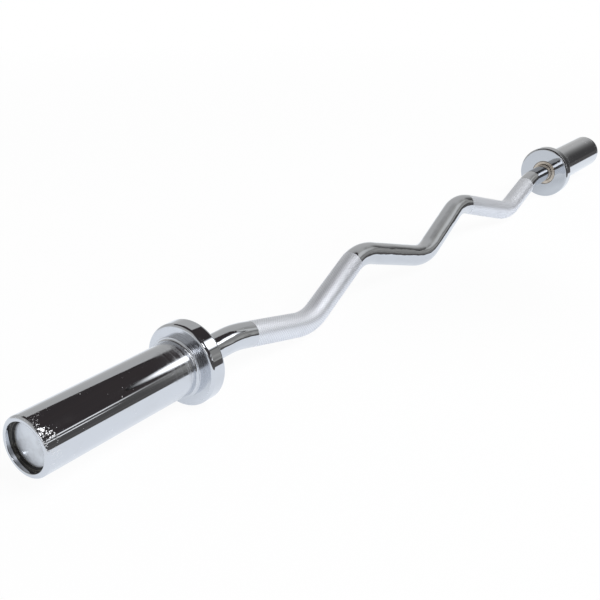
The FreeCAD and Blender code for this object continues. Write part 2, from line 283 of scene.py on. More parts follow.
def new_finish(name, **plain):
    """A material and its shader, with the values that are the same all over set on the shader."""
    material = bpy.data.materials.new(name)
    material.use_nodes = True
    shader = material.node_tree.nodes["Principled BSDF"]
    for label, value in plain.items():
        shader.inputs[label.replace("_", " ")].default_value = value
    return material, material.node_tree, shader.inputs


# Marks of use: hairline scratches along the bar, a haze where it is handled and wiped, and pin-head pits.
HAIRLINE_SCALES = (14, 1500, 1500)
SMEAR_SCALES = (30, 75, 75)
SMEAR_TURN = (0.3, 0.2, 0.5)
PIT_SCALE = 260.0
PIT_RIM = 0.10
PIT_FLOOR = 0.05
PIT_RARITY = 0.86
wear, given, marks = new_tree(
    "marks_of_use", "ShaderNodeTree", {"Vector": ("Vector", None)},
    {"Hairlines": "Float", "Haze": "Float", "Pits": "Float"})
hairlines = stretched_clouds(wear, given["Vector"], HAIRLINE_SCALES, detail=2.0)
hairlines = soft_step(wear, hairlines, start=0.62, end=0.74)
worn = clouds(wear, given["Vector"], scale=38.0, detail=5.0, Roughness=0.6)
worn = soft_step(wear, worn, start=0.42, end=0.66)
wear.links.new(reckon(wear, "MULTIPLY", hairlines, worn), marks["Hairlines"])
smears = stretched_clouds(
    wear, given["Vector"], SMEAR_SCALES, detail=6.0, turn=SMEAR_TURN, Distortion=0.6)
wear.links.new(soft_step(wear, smears, start=0.45, end=0.72), marks["Haze"])
pits = put(
    wear, "ShaderNodeTexVoronoi",
    {"Vector": given["Vector"], "Scale": PIT_SCALE, "Randomness": 1.0}).outputs
pit_here = put(wear, "ShaderNodeMapRange", {0: pits["Distance"], 1: PIT_RIM, 2: PIT_FLOOR}).outputs[0]
pit_kept = put(wear, "ShaderNodeSeparateColor", {0: pits["Color"]}).outputs[0]
pit_kept = reckon(wear, "GREATER_THAN", pit_kept, PIT_RARITY)
wear.links.new(reckon(wear, "MULTIPLY", pit_here, pit_kept), marks["Pits"])

# The plate: how much each mark dulls, roughens and dents it.
PIT_DULLS = 0.8
HAZE_ROUGHENS = 0.10
HAIRLINE_ROUGHENS = 0.22
PIT_ROUGHENS = 0.3
SCUFF_ROUGHENS = 0.45
RUB_ROUGHENS = 0.24
PIT_DENTS = -2.0
SCUFF_DENTS = -6.0
MARK_STRENGTH = 0.25
MARK_DEPTH = 0.00001
WAVE_SCALES = (45, 120, 120)


def chrome_plate(name, place_kind, smooth, hazy, scratched, wavy=0.0, scuffs=None):
    """Bright chrome over polished steel, with its marks of use and, where plates knock it, scuffs."""
    material, tree, shader = new_finish(name, Metallic=1.0)
    if place_kind == "straight":
        place = put(tree, "ShaderNodeAttribute", attribute_name="straight").outputs["Vector"]
    else:
        place = put(tree, "ShaderNodeTexCoord").outputs["Object"]
    used = pattern(tree, wear, place)
    dull = reckon(tree, "MULTIPLY", used["Haze"], hazy)
    dull = reckon(tree, "MULTIPLY_ADD", used["Pits"], PIT_DULLS, dull, clamp=True)
    colour = blend(tree, dull, CHROME, CHROME_DULL)
    rough = reckon(tree, "MULTIPLY_ADD", used["Haze"], hazy * HAZE_ROUGHENS, smooth)
    rough = reckon(tree, "MULTIPLY_ADD", used["Hairlines"], scratched * HAIRLINE_ROUGHENS, rough)
    rough = reckon(tree, "MULTIPLY_ADD", used["Pits"], PIT_ROUGHENS, rough)
    dents = reckon(tree, "MULTIPLY", used["Pits"], PIT_DENTS)
    dents = reckon(tree, "MULTIPLY_ADD", used["Hairlines"], -scratched, dents)
    if scuffs:
        knocks = pattern(tree, scuffs, place)
        # Painted shade: the collar's inner face is coloured darker, for the shadowed floor that it mirrors.
        colour = blend(tree, knocks["Painted Shade"], colour, CHROME_PAINTED_SHADE)
        colour = blend(tree, knocks["Scuffs"], colour, CHROME_BRUISED)
        rough = reckon(tree, "MULTIPLY_ADD", knocks["Scuffs"], SCUFF_ROUGHENS, rough)
        rough = reckon(tree, "MULTIPLY_ADD", knocks["Rubbed"], RUB_ROUGHENS, rough)
        dents = reckon(tree, "MULTIPLY_ADD", knocks["Scuffs"], SCUFF_DENTS, dents)
    under = {}
    if wavy:
        waves = stretched_clouds(tree, place, WAVE_SCALES, detail=1.5)
        under["Normal"] = relief(tree, waves, strength=1.0, depth=wavy)
    tree.links.new(colour, shader["Base Color"])
    tree.links.new(rough, shader["Roughness"])
    tree.links.new(relief(tree, dents, MARK_STRENGTH, MARK_DEPTH, **under), shader["Normal"])
    return material


# The straight bar is longer than the bent one by what the zigzag takes up. Each half of the bar has the
# three bends on its side and half of the middle one.
runs = [
    (0, -ZIGZAG["Centre Drop"]),
    (ZIGZAG["Inner Corner"], ZIGZAG["Inner Rise"]),
    (ZIGZAG["Outer Corner"], -ZIGZAG["Outer Drop"]),
    (ZIGZAG["Neck Corner"], 0),
    (SHAFT_END, 0),
]
slopes = [math.atan2(b[1] - a[1], b[0] - a[0]) for a, b in zip(runs, runs[1:])]
turns = [2 * slopes[0]] + [abs(b - a) for a, b in zip(slopes, slopes[1:])]
radii = [ZIGZAG["Bend Radius"]] * 3 + [ZIGZAG["Neck Radius"]]
half_length = sum(math.dist(a, b) for a, b in zip(runs, runs[1:]))
for turn, radius, share in zip(turns, radii, (0.5, 1, 1, 1)):
    half_length -= share * radius * (2 * math.tan(turn / 2) - turn)
taken_up = half_length - SHAFT_END


def stations(start, end, step, radius):
    """Rings of a plain bar at even steps between two places."""
    count = math.ceil((end - start) / step)
    return [(start + (end - start) * k / count, radius) for k in range(count + 1)]


middle = [
    (-GRIP_START, 0),
    *stations(-GRIP_START, GRIP_START, RING_STEP, SHAFT_RADIUS),
    (GRIP_START, 0),
]
right_end = [
    (GRIP_END, 0),
    *stations(GRIP_END, NECK_STRAIGHT, RING_STEP, SHAFT_RADIUS),
    (SHOULDER + taken_up, SHAFT_RADIUS),
    (SHOULDER + taken_up, JOURNAL_RADIUS),
    (RING_GROOVE_START + taken_up, JOURNAL_RADIUS),
    (RING_GROOVE_START + taken_up, RING_GROOVE_RADIUS),
    (RING_GROOVE_END + taken_up, RING_GROOVE_RADIUS),
    (RING_GROOVE_END + taken_up, JOURNAL_RADIUS),
    (half_length - END_CHAMFER, JOURNAL_RADIUS),
    (half_length, JOURNAL_RADIUS - END_CHAMFER),
    (half_length, 0),
]
left_end = [(-place, radius) for place, radius in reversed(right_end)]
shaft_chrome = chrome_plate("shaft_chrome", "straight", smooth=0.055, hazy=0.35, scratched=0.4, wavy=0.00042)
shaft = turned_solid("bent_shaft", [left_end, middle, right_end], SHAFT_SIDES)
run_tree(shaft, shaft_tree, {**ZIGZAG, "Finish": shaft_chrome})
shaft.data.shade_smooth()
shaft.data.set_sharp_from_angle(angle=SHARP_EDGE)
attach(shaft, "bar")
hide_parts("shaft")

# Hand grips
# Two lengths of the same bar with a diamond knurl, rolled in by a pair of wheels while the bar is straight,
# bent with it and plated over. The colour is bright on the flats of the teeth and darker down the flanks.
KNURL_FLOOR = 0.01244
KNURL_FLOOR_STEP = 0.002
TOOTH_HEIGHT = 0.00005
TOOTH_CROWN = 0.64
TOOTH_LENGTH = 0.0016
TEETH_AROUND = 48
TOOTH_ROWS = 249
KNURL_BRIGHT = (0.86, 0.885, 0.942, 1)
KNURL_GROOVE = (0.60, 0.62, 0.67, 1)

knurl_tree, size, made = new_tree(
    "rolled_knurl", "GeometryNodeTree",
    {"Core": ("Geometry", None), "Grip Middle": ("Float", 0.0), "Rows": ("Int", 3), "Columns": ("Int", 4),
     "Tooth Length": ("Float", TOOTH_LENGTH), "Tooth Height": ("Float", TOOTH_HEIGHT),
     "Crown": ("Float", TOOTH_CROWN), "Floor Radius": ("Float", KNURL_FLOOR),
     **zigzag_inputs, "Finish": ("Material", None)},
    {"Grip": "Geometry"})
row_span = reckon(knurl_tree, "SUBTRACT", size["Rows"], 1.0)
column_span = reckon(knurl_tree, "SUBTRACT", size["Columns"], 1.0)
lattice = put(knurl_tree, "GeometryNodeMeshGrid", {
    "Size X": row_span, "Size Y": column_span, "Vertices X": size["Rows"], "Vertices Y": size["Columns"]})
spot = split(knurl_tree, put(knurl_tree, "GeometryNodeInputPosition").outputs[0])
row = reckon(knurl_tree, "ROUND", reckon(knurl_tree, "MULTIPLY_ADD", row_span, 0.5, spot["X"]))
column = reckon(knurl_tree, "ROUND", reckon(knurl_tree, "MULTIPLY_ADD", column_span, 0.5, spot["Y"]))
between = reckon(knurl_tree, "FLOORED_MODULO", reckon(knurl_tree, "ADD", row, column), 2.0)
lattice = put(
    knurl_tree, "GeometryNodeDeleteGeometry", {"Geometry": lattice.outputs[0], "Selection": between},
    domain="POINT")
half_tooth = reckon(knurl_tree, "MULTIPLY", size["Tooth Length"], 0.5)
turn = reckon(knurl_tree, "DIVIDE", reckon(knurl_tree, "MULTIPLY", column, math.tau), size["Columns"])
tooth_place = put(knurl_tree, "ShaderNodeCombineXYZ", {
    "X": reckon(knurl_tree, "MULTIPLY_ADD", spot["X"], half_tooth, size["Grip Middle"]),
    "Y": reckon(knurl_tree, "MULTIPLY", reckon(knurl_tree, "SINE", turn), size["Floor Radius"]),
    "Z": reckon(knurl_tree, "MULTIPLY", reckon(knurl_tree, "COSINE", turn), size["Floor Radius"]),
}).outputs[0]
facing = put(
    knurl_tree, "GeometryNodeStoreNamedAttribute",
    {"Geometry": lattice.outputs[0], "Name": "facing", "Value": reckon(knurl_tree, "MULTIPLY", turn, -1.0)},
    data_type="FLOAT", domain="POINT")
spots = put(
    knurl_tree, "GeometryNodeSetPosition", {"Geometry": facing.outputs[0], "Position": tooth_place})
tooth = put(
    knurl_tree, "GeometryNodeMeshCone",
    {"Vertices": 4, "Radius Top": size["Crown"], "Radius Bottom": 1.0, "Depth": 1.0}, fill_type="NGON")
tooth_rise = split(knurl_tree, put(knurl_tree, "GeometryNodeInputPosition").outputs[0])["Z"]
tooth = put(
    knurl_tree, "GeometryNodeStoreNamedAttribute",
    {"Geometry": tooth.outputs[0], "Name": "rise", "Value": tooth_rise}, data_type="FLOAT", domain="POINT")
half_width = reckon(knurl_tree, "MULTIPLY", size["Floor Radius"], math.tau)
half_width = reckon(knurl_tree, "DIVIDE", half_width, size["Columns"])
tooth_size = put(knurl_tree, "ShaderNodeCombineXYZ", {
    "X": half_tooth, "Y": half_width, "Z": size["Tooth Height"]})
roll = put(knurl_tree, "GeometryNodeInputNamedAttribute", {"Name": "facing"}, data_type="FLOAT")
teeth = put(knurl_tree, "GeometryNodeInstanceOnPoints", {
    "Points": spots.outputs[0], "Instance": tooth.outputs[0], "Scale": tooth_size.outputs[0],
    "Rotation": put(knurl_tree, "ShaderNodeCombineXYZ", {"X": roll.outputs[0]}).outputs[0]})
teeth = put(knurl_tree, "GeometryNodeRealizeInstances", {0: teeth.outputs[0]})
whole = put(knurl_tree, "GeometryNodeJoinGeometry")
knurl_tree.links.new(teeth.outputs[0], whole.inputs[0])
knurl_tree.links.new(size["Core"], whole.inputs[0])
whole = put(
    knurl_tree, "GeometryNodeGroup",
    {"Straight": whole.outputs[0], **{label: size[label] for label in ZIGZAG}}, node_tree=bending)
whole = put(knurl_tree, "GeometryNodeSetShadeSmooth", {"Geometry": whole.outputs[0], "Shade Smooth": False})
whole = put(knurl_tree, "GeometryNodeRealizeInstances", {0: whole.outputs[0]})
whole = put(
    knurl_tree, "GeometryNodeSetMaterial", {"Geometry": whole.outputs[0], "Material": size["Finish"]})
knurl_tree.links.new(whole.outputs[0], made["Grip"])

HAZE_GREYS = -0.25
TRACK_PAINTED_SHADE = -0.65
FLANK_SHINE = 0.64
CROWN_SHINE = 0.16
FLANK_ROUGH = 0.40
CROWN_SMOOTHS = -0.10
HAZE_DULLS = 0.08
knurl_chrome, tree, shader = new_finish("knurled_chrome")
place = put(tree, "ShaderNodeAttribute", attribute_name="straight").outputs["Vector"]
rise = put(tree, "ShaderNodeAttribute", attribute_name="rise").outputs["Fac"]
used = pattern(tree, wear, place)
bright = soft_step(tree, rise, start=0.05, end=0.55)
crown = soft_step(tree, rise, start=0.55, end=0.98)
# Each wheel runs twice round the bar, which would cut every second groove of both sets deeper. Their
# shade is painted instead: every second groove of both sets is coloured a little darker, as painted shade.
spot = split(tree, place)
row = reckon(tree, "SUBTRACT", reckon(tree, "ABSOLUTE", spot["X"]), (GRIP_START + GRIP_END) / 2)
row = reckon(tree, "MULTIPLY_ADD", row, 2 / TOOTH_LENGTH, (TOOTH_ROWS - 1) / 2 - 1)
column = reckon(tree, "MULTIPLY", reckon(tree, "ARCTAN2", spot["Y"], spot["Z"]), TEETH_AROUND / math.pi)
left_hand = reckon(tree, "MULTIPLY", reckon(tree, "ADD", row, column), math.pi / 2)
right_hand = reckon(tree, "MULTIPLY", reckon(tree, "SUBTRACT", row, column), math.pi / 2)
track_shade = reckon(tree, "MAXIMUM", reckon(tree, "COSINE", left_hand), reckon(tree, "COSINE", right_hand))
track_shade = soft_step(tree, track_shade, start=0.1, end=1.0)
bright = reckon(tree, "MULTIPLY_ADD", used["Haze"], HAZE_GREYS, bright)
# Painted shade: every second groove is coloured darker.
bright = reckon(tree, "MULTIPLY_ADD", track_shade, TRACK_PAINTED_SHADE, bright, clamp=True)
tree.links.new(blend(tree, bright, KNURL_GROOVE, KNURL_BRIGHT), shader["Base Color"])
tree.links.new(reckon(tree, "MULTIPLY_ADD", crown, CROWN_SHINE, FLANK_SHINE), shader["Metallic"])
rough = reckon(tree, "MULTIPLY_ADD", crown, CROWN_SMOOTHS, FLANK_ROUGH)
tree.links.new(reckon(tree, "MULTIPLY_ADD", used["Haze"], HAZE_DULLS, rough), shader["Roughness"])
grain = clouds(tree, place, scale=4200.0, detail=3.0)
tree.links.new(relief(tree, grain, strength=0.12, depth=0.00003), shader["Normal"])

for side, sign in (("left", -1), ("right", 1)):
    start, end = sorted((sign * GRIP_START, sign * GRIP_END))
    core = [(start, 0), *stations(start, end, KNURL_FLOOR_STEP, KNURL_FLOOR), (end, 0)]
    grip = turned_solid(f"{side}_grip_knurl", [core], 2 * TEETH_AROUND)
    run_tree(grip, knurl_tree, {
        **ZIGZAG, "Grip Middle": (start + end) / 2, "Rows": TOOTH_ROWS, "Columns": 2 * TEETH_AROUND,
        "Tooth Length": TOOTH_LENGTH, "Tooth Height": TOOTH_HEIGHT, "Crown": TOOTH_CROWN,
        "Floor Radius": KNURL_FLOOR, "Finish": knurl_chrome})
    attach(grip, "bar")

# Bushes
# Oil-filled sintered bronze bearings, two in each sleeve, turned to size and pressed in. The shaft turns in
# them; the ring of the inner one shows round the shaft in the face of the collar.
BRONZE = (0.63, 0.565, 0.485, 1)
BRONZE_DARK = (0.30, 0.245, 0.19, 1)
RING_DRIFT = 0.6
PORE_RARITY = 0.62
PORE_DARKENS = 0.4
OIL_DARKENS = 0.5
OIL_SMOOTHS = -0.15
BRONZE_ROUGH = 0.42


def off_axis(tree, spot):
    """How far a place lies from the X axis."""
    squares = [reckon(tree, "POWER", spot[axis], 2.0) for axis in "YZ"]
    return reckon(tree, "SQRT", reckon(tree, "ADD", *squares))


def coat(material, *pieces):
    """Puts a finish on the left and the right one of each piece."""
    for side in ("left", "right"):
        for piece in pieces:
            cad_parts[f"{side}_{piece}"].material_slots[0].material = material


# Turning marks: fine rings round the X axis, along a cylinder as well as across a face.
turning, given, marks = new_tree(
    "turning_marks", "ShaderNodeTree", {"Vector": ("Vector", None), "Rings per Metre": ("Float", 2500.0)},
    {"Rings": "Float"})
spot = split(turning, given["Vector"])
feed = reckon(turning, "ADD", spot["X"], off_axis(turning, spot))
feed = reckon(turning, "MULTIPLY", feed, given["Rings per Metre"])
drift = clouds(turning, given["Vector"], scale=60.0, detail=1.0)
feed = reckon(turning, "MULTIPLY_ADD", drift, RING_DRIFT, feed)
rings = put(turning, "ShaderNodeTexNoise", {"W": feed, "Scale": 1.0, "Detail": 3.0}, noise_dimensions="1D")
turning.links.new(rings.outputs[0], marks["Rings"])


def turned_rings(tree, place, per_metre):
    """The turning marks at a place, with so many rings to the metre."""
    spacing = {"Vector": place, "Rings per Metre": per_metre}
    return put(tree, "ShaderNodeGroup", spacing, node_tree=turning).outputs["Rings"]


bronze, tree, shader = new_finish("sintered_bronze", Metallic=1.0)
place = put(tree, "ShaderNodeTexCoord").outputs["Object"]
rings = turned_rings(tree, place, per_metre=3200.0)
pores = clouds(tree, place, scale=1800.0, detail=4.0)
oil = clouds(tree, place, scale=140.0, detail=4.0)
oil = soft_step(tree, oil, start=0.42, end=0.75)
stain = reckon(tree, "MULTIPLY", reckon(tree, "GREATER_THAN", pores, PORE_RARITY), PORE_DARKENS)
stain = reckon(tree, "MULTIPLY_ADD", oil, OIL_DARKENS, stain, clamp=True)
tree.links.new(blend(tree, stain, BRONZE, BRONZE_DARK), shader["Base Color"])
tree.links.new(reckon(tree, "MULTIPLY_ADD", oil, OIL_SMOOTHS, BRONZE_ROUGH), shader["Roughness"])
turned = relief(tree, rings, strength=0.4, depth=0.00003)
pitted = relief(tree, pores, strength=0.3, depth=0.00005, Normal=turned)
tree.links.new(pitted, shader["Normal"])
coat(bronze, "inner_bush", "outer_bush")

# Thrust washers
# Steel rings on the journal, stamped, hardened and ground flat, one each side of the outer bush. They lie
# loose in the grease and take the end load of the sleeve.
STEEL = (0.56, 0.56, 0.57, 1)
STEEL_OILED = (0.36, 0.34, 0.31, 1)
GROUND_ROUGH = 0.18
GRINDING_ROUGHENS = 0.25
ground_steel, tree, shader = new_finish("ground_steel", Metallic=1.0)
place = put(tree, "ShaderNodeTexCoord").outputs["Object"]
rings = turned_rings(tree, place, per_metre=5200.0)
oil = clouds(tree, place, scale=190.0, detail=5.0)
tree.links.new(blend(tree, oil, STEEL, STEEL_OILED), shader["Base Color"])
tree.links.new(reckon(tree, "MULTIPLY_ADD", rings, GRINDING_ROUGHENS, GROUND_ROUGH), shader["Roughness"])
tree.links.new(relief(tree, rings, strength=0.3, depth=0.00002), shader["Normal"])
coat(ground_steel, "shoulder_washer", "end_washer")

# Snap rings
# Stamped spring steel, hardened and phosphated black. The shaft ring sits in the journal's groove and keeps
# the sleeve on, and the cap ring springs into the groove in the sleeve's mouth in front of the end cap.
PHOSPHATE = (0.022, 0.021, 0.021, 1)
PHOSPHATE_WORN = (0.20, 0.19, 0.165, 1)
CRYSTAL_SCALE = 5200.0
PATCHES_WORN = 0.6
RINGS_WORN = 0.9
PHOSPHATE_ROUGH = 0.5
WEAR_SMOOTHS = -0.15
phosphate, tree, shader = new_finish("black_phosphate", Metallic=0.5, Specular_IOR_Level=0.3)
place = put(tree, "ShaderNodeTexCoord").outputs["Object"]
crystals = put(tree, "ShaderNodeTexVoronoi", {"Vector": place, "Scale": CRYSTAL_SCALE}).outputs["Distance"]
rubbed = clouds(tree, place, scale=320.0, detail=5.0)
rubbed = soft_step(tree, rubbed, start=0.54, end=0.80)
rubbed = reckon(tree, "MULTIPLY", rubbed, PATCHES_WORN)
rings = turned_rings(tree, place, per_metre=1100.0)
rings = soft_step(tree, rings, start=0.50, end=0.66)
rubbed = reckon(tree, "MULTIPLY_ADD", rings, RINGS_WORN, rubbed, clamp=True)
tree.links.new(blend(tree, rubbed, PHOSPHATE, PHOSPHATE_WORN), shader["Base Color"])
tree.links.new(reckon(tree, "MULTIPLY_ADD", rubbed, WEAR_SMOOTHS, PHOSPHATE_ROUGH), shader["Roughness"])
tree.links.new(relief(tree, crystals, strength=0.3, depth=0.00003), shader["Normal"])
coat(phosphate, "shaft_ring", "cap_ring")

# Sleeves and collars
# The sleeve is a steel tube turned to 50 mm with a rounded lip, and the collar is a turned flange pressed on
# its seat. Both are polished and chrome plated; plates drag fine scratches along the sleeve.
inner_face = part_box("right_collar")[0].x
sleeve_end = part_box("right_sleeve")[1].x
sleeve_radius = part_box("right_sleeve")[1].z
OUTER_WALL = sleeve_radius - 0.0015
COLLAR_OUTSIDE = inner_face + 0.0165
LIP_START = sleeve_end - 0.018
LIP_FULL = sleeve_end - 0.007
RUB_START = inner_face + 0.077
RUB_FULL = inner_face + 0.025
# Where the painted shade on the collar's inner face starts and where it is full.
PAINTED_SHADE_START = inner_face + 0.0015
PAINTED_SHADE_FULL = inner_face + 0.0003
SPECK_SCALES = (560, 900, 900)
CROWD_SHARE = 0.85
ARC_SHARE = 0.6
CLOUD_SHARE = 0.4
LEAST_RUBBED = 0.2

# What the plates do: clusters of knocks round the lip where they are pushed on, loose nicks along the
# sleeve and a rubbed length by the hub where they turn. The collar's inner face gets painted shade: it
# is coloured darker, for the floor's shadow that it mirrors.
scuffs, given, marks = new_tree(
    "plate_scuffs_and_painted_shade", "ShaderNodeTree", {"Vector": ("Vector", None)},
    {"Scuffs": "Float", "Rubbed": "Float", "Painted Shade": "Float"})
spot = split(scuffs, given["Vector"])
along = reckon(scuffs, "ABSOLUTE", spot["X"])
outside = reckon(scuffs, "GREATER_THAN", off_axis(scuffs, spot), OUTER_WALL)
on_sleeve = reckon(scuffs, "MULTIPLY", outside, reckon(scuffs, "GREATER_THAN", along, COLLAR_OUTSIDE))
crowd = clouds(scuffs, given["Vector"], scale=75.0, detail=2.0)
specks = stretched_clouds(scuffs, given["Vector"], SPECK_SCALES, detail=2.0)
specks = reckon(scuffs, "MULTIPLY_ADD", crowd, CROWD_SHARE, specks)
lip = reckon(scuffs, "MULTIPLY", soft_step(scuffs, along, LIP_START, LIP_FULL), outside)
knocks = reckon(scuffs, "MULTIPLY", lip, soft_step(scuffs, specks, start=1.07, end=1.14))
nicks = reckon(scuffs, "MULTIPLY", on_sleeve, soft_step(scuffs, specks, start=1.23, end=1.31))
scuffs.links.new(reckon(scuffs, "MAXIMUM", knocks, nicks), marks["Scuffs"])
home = reckon(scuffs, "MULTIPLY", soft_step(scuffs, along, RUB_START, RUB_FULL), on_sleeve)
haze = clouds(scuffs, given["Vector"], scale=110.0, detail=5.0)
haze = reckon(scuffs, "MULTIPLY", haze, CLOUD_SHARE)
arcs = turned_rings(scuffs, given["Vector"], per_metre=480.0)
haze = reckon(scuffs, "MULTIPLY_ADD", arcs, ARC_SHARE, haze)
haze = put(scuffs, "ShaderNodeMapRange", {0: haze, 1: 0.40, 2: 0.60, 3: LEAST_RUBBED, 4: 1.0}).outputs[0]
scuffs.links.new(reckon(scuffs, "MULTIPLY", home, haze), marks["Rubbed"])
# Painted shade on the collar's inner face.
scuffs.links.new(soft_step(scuffs, along, PAINTED_SHADE_START, PAINTED_SHADE_FULL), marks["Painted Shade"])

sleeve_chrome = chrome_plate(
    "sleeve_chrome", "object", smooth=0.040, hazy=0.30, scratched=0.9, scuffs=scuffs)
coat(sleeve_chrome, "sleeve", "collar")

# End caps
# A disc turned from aluminium bar and left satin. It is dropped into the mouth of the sleeve on a rubber
# seal, to keep grease in and dirt out, and handling has clouded it.
ALLOY = (0.735, 0.76, 0.80, 1)
ALLOY_DULL = (0.60, 0.615, 0.64, 1)
ALLOY_ROUGH = 0.40
HANDLING_DULLS = 0.5
HANDLING_ROUGHENS = 0.12
CAP_PIT_DULLS = 0.6
TURNING_ROUGHENS = 0.10
satin_alloy, tree, shader = new_finish("satin_alloy", Metallic=1.0)
place = put(tree, "ShaderNodeTexCoord").outputs["Object"]
rings = turned_rings(tree, place, per_metre=2600.0)
used = pattern(tree, wear, place)
handled = clouds(tree, place, scale=90.0, detail=5.0, Roughness=0.6)
handled = soft_step(tree, handled, start=0.40, end=0.70)
dull = reckon(tree, "MULTIPLY", handled, HANDLING_DULLS)
dull = reckon(tree, "MULTIPLY_ADD", used["Pits"], CAP_PIT_DULLS, dull, clamp=True)
tree.links.new(blend(tree, dull, ALLOY, ALLOY_DULL), shader["Base Color"])
rough = reckon(tree, "MULTIPLY_ADD", handled, HANDLING_ROUGHENS, ALLOY_ROUGH)
tree.links.new(reckon(tree, "MULTIPLY_ADD", rings, TURNING_ROUGHENS, rough), shader["Roughness"])
tree.links.new(relief(tree, rings, strength=0.35, depth=0.00002), shader["Normal"])
coat(satin_alloy, "end_cap")

# Cap seals
# A moulded ring of black rubber, stretched into the groove of each end cap. It bears on the bore of the
# sleeve's mouth, and has a faint grey bloom.
RUBBER = (0.018, 0.018, 0.019, 1)
RUBBER_BLOOM = (0.06, 0.06, 0.062, 1)
RUBBER_ROUGH = 0.5
BLOOM_ROUGHENS = 0.3
rubber, tree, shader = new_finish("seal_rubber", Specular_IOR_Level=0.4)
place = put(tree, "ShaderNodeTexCoord").outputs["Object"]
bloom = clouds(tree, place, scale=420.0, detail=5.0)
tree.links.new(blend(tree, bloom, RUBBER, RUBBER_BLOOM), shader["Base Color"])
tree.links.new(reckon(tree, "MULTIPLY_ADD", bloom, BLOOM_ROUGHENS, RUBBER_ROUGH), shader["Roughness"])
tree.links.new(relief(tree, bloom, strength=0.2, depth=0.00004), shader["Normal"])
coat(rubber, "cap_seal")

# Floor
# A white paper sheet that the bar lies on, with the bar's soft shadow on it. The chrome shows the sheet's
# near edge and the dark floor in front of it, and with distance the sheet goes over into plain white.
FLOOR_HEIGHT = cad_box[0].z
FLOOR_REACH = 30
PAPER = (0.78, 0.785, 0.80, 1)
PAPER_SEEN = (1, 1, 1, 1)
PAPER_MIRRORED = (0.99, 1.03, 1.075, 1)
BARE_FLOOR = (0.10, 0.095, 0.093, 1)
SHEET_EDGE = 0.18
SHEET_SLANT = -0.11
SHEET_BLUR = 0.012
WHITE_FROM = 1.0
WHITE_AT = 2.6
WHITE_SHARE = 0.95
MIRRORED_SHARE = 0.75


def new_glow(name):
    """A material with no shader yet, and its tree."""
    material = bpy.data.materials.new(name)
    material.use_nodes = True
    material.node_tree.nodes.clear()
    return material, material.node_tree


floor_corners = [(-FLOOR_REACH, -FLOOR_REACH), (FLOOR_REACH, -FLOOR_REACH)]
floor_corners += [(FLOOR_REACH, FLOOR_REACH), (-FLOOR_REACH, FLOOR_REACH)]
floor = bpy.data.objects.new("floor", bpy.data.meshes.new("floor"))
floor.data.from_pydata([(x, y, FLOOR_HEIGHT) for x, y in floor_corners], [], [(0, 1, 2, 3)])
bpy.context.scene.collection.objects.link(floor)
paper, tree = new_glow("white_paper")
rays = put(tree, "ShaderNodeLightPath").outputs
mirrored = reckon(tree, "ADD", rays["Is Glossy Ray"], rays["Is Transmission Ray"], clamp=True)
place = put(tree, "ShaderNodeTexCoord").outputs["Object"]
spot = split(tree, place)
inside = reckon(tree, "MULTIPLY_ADD", spot["X"], SHEET_SLANT, SHEET_EDGE)
inside = reckon(tree, "ADD", inside, spot["Y"])
sheet = soft_step(tree, inside, -SHEET_BLUR, SHEET_BLUR)
sheet = reckon(tree, "MAXIMUM", sheet, reckon(tree, "SUBTRACT", 1.0, mirrored))
matt = put(tree, "ShaderNodeBsdfDiffuse", {"Color": blend(tree, sheet, BARE_FLOOR, PAPER)})
white = blend(tree, mirrored, PAPER_SEEN, PAPER_MIRRORED)
white = put(tree, "ShaderNodeEmission", {"Color": blend(tree, sheet, BARE_FLOOR, white)})
far = put(tree, "ShaderNodeVectorMath", {0: place}, operation="LENGTH").outputs["Value"]
far = put(
    tree, "ShaderNodeMapRange", {0: far, 1: WHITE_FROM, 2: WHITE_AT, 3: WHITE_SHARE, 4: 1.0}).outputs[0]
share = reckon(tree, "MULTIPLY", rays["Is Camera Ray"], far)
share = reckon(tree, "MULTIPLY_ADD", mirrored, MIRRORED_SHARE, share, clamp=True)
both = put(tree, "ShaderNodeMixShader", {0: share, 1: matt.outputs[0], 2: white.outputs[0]})
put(tree, "ShaderNodeOutputMaterial", {"Surface": both.outputs[0]})
paper.cycles.emission_sampling = "NONE"
floor.data.materials.append(paper)

# Surroundings
# What the chrome shows above the floor: a pale backdrop behind the bar, a dim room to the right with a dark
# doorway, a dark near side with two tube lamps, and a window behind the viewer. The viewer sees plain white.
# Bearings are in degrees from +X towards +Y, heights in degrees above the floor.
BACKDROP_LOW = (0.66, 0.66, 0.65, 1)
BACKDROP_HIGH = (0.53, 0.525, 0.51, 1)
ROOM_DARK = (0.24, 0.235, 0.225, 1)
ROOM_LIGHT = (0.46, 0.455, 0.43, 1)
ROOM_GLOW = (0.68, 0.68, 0.66, 1)
DOORWAY = (0.065, 0.063, 0.062, 1)
CEILING = (0.28, 0.275, 0.265, 1)
NEAR_SIDE_LOW = (0.095, 0.092, 0.09, 1)
NEAR_SIDE_HIGH = (0.045, 0.043, 0.045, 1)
TUBE_LAMP = (1.3, 1.3, 1.3, 1)
WINDOW = (2.0, 2.0, 2.0, 1)
BACKDROP_HEIGHTS = (0, 18)
BACKDROP_BEARINGS = (-20, 6)
GLOW_BEARING = -30
GLOW_HEIGHT = 32
GLOW_FULL = 2
GLOW_REACH = 15
DOORWAY_SLANT = -0.73
DOORWAY_EDGE = (-32, -29.5)
DOORWAY_BEARINGS = (11, -19)
DOORWAY_TOP = (30, 23)
CEILING_HEIGHTS = (42, 62)
NEAR_SIDE_HEIGHTS = (20, 24)
NEAR_SIDE_BEARINGS = (-44, -51)
LOW_TUBE_HEIGHTS = (10.6, 12.6)
LOW_TUBE_END = (-51, -54)
HIGH_TUBE_HEIGHTS = (17.6, 20.0)
HIGH_TUBE_END = (-45, -52)
TUBES_START = (-90, -80)
TUBE_SOFTNESS = 0.5
WINDOW_HEIGHTS = (9.5, 18)
WINDOW_BEARINGS = (-146, -154)
WINDOW_SOFTNESS = 1.0
world = bpy.data.worlds.new("studio")
world.use_nodes = True
bpy.context.scene.world = world
tree = world.node_tree
